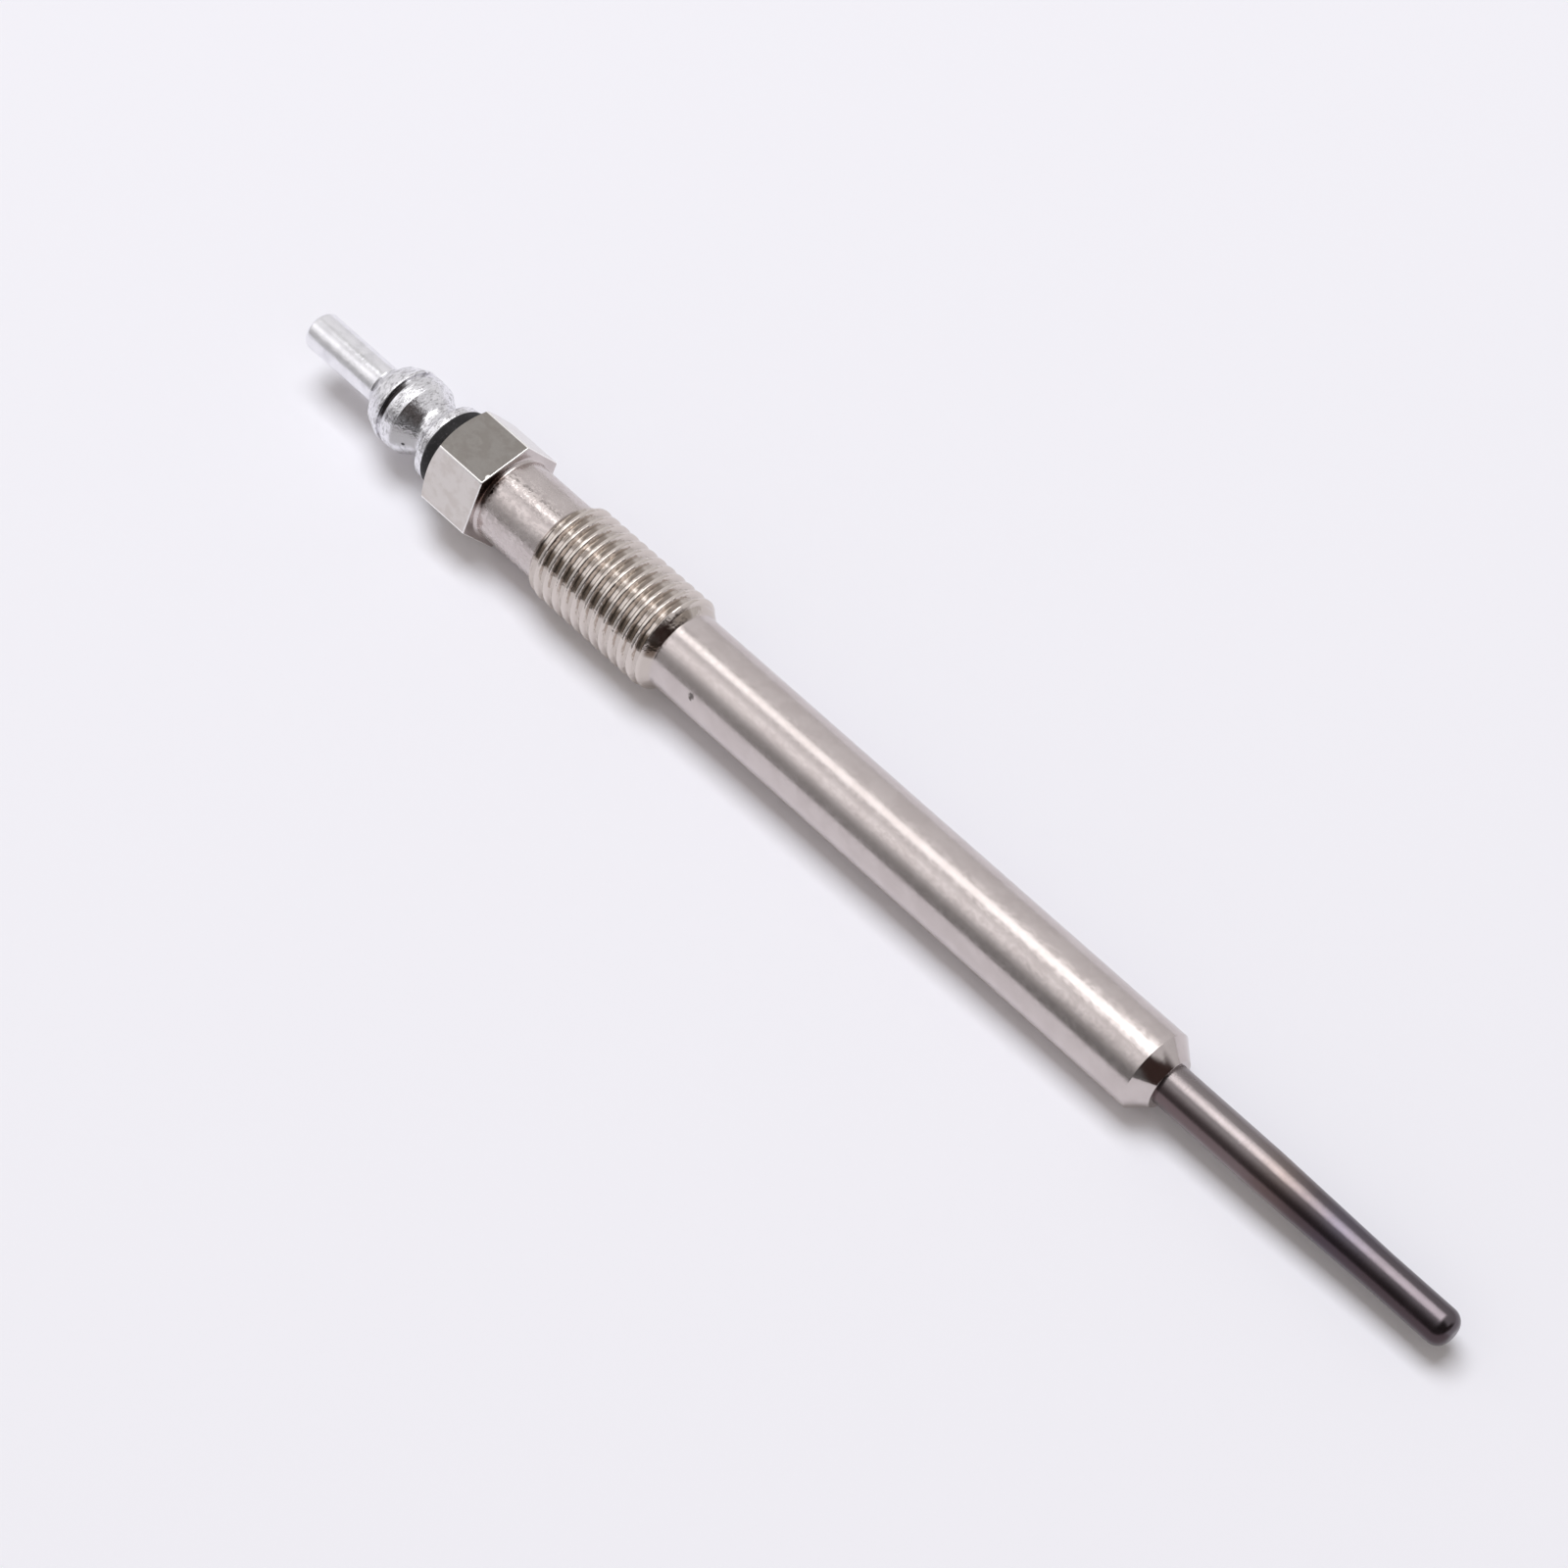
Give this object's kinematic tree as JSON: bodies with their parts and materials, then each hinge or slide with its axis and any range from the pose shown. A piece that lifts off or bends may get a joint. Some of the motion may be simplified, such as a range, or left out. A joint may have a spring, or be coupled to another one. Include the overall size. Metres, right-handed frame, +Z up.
{
  "type": "glow plug",
  "caption": "Sheathed diesel glow plug with a hexagon, threaded steel body, cone seat, push-on terminal and heat-tinted glow tube, lying on its side",
  "frame": {"origin": "On the resting surface, below the middle of the plug's length", "axes": "+X along the plug from terminal to glow tip, +Z up; the axis dips by about one degree toward the tip, as the plug rests on the end of its thread and the rim of its seat"},
  "size_m": [0.1432, 0.0116, 0.0106],
  "materials": {
    "terminal": "bright turned aluminium",
    "washer": "matt black moulded insulator",
    "seal": "soft elastomer",
    "body": "satin nickel plating on steel",
    "tube": "dark heat-tinted nickel alloy",
    "rod": "plain steel",
    "powder": "pressed magnesium oxide",
    "coil": "drawn resistance wire"
  },
  "bodies": {
    "root": {"terminal_pin": "terminal", "insulating_washer": "washer", "rod_seal_ring": "seal", "body_shell": "body", "heater_sheath": "tube", "centre_rod": "rod", "sheath_seal": "seal", "insulating_powder": "powder", "control_coil": "coil", "heating_coil": "coil"}
  },
  "joints": []
}
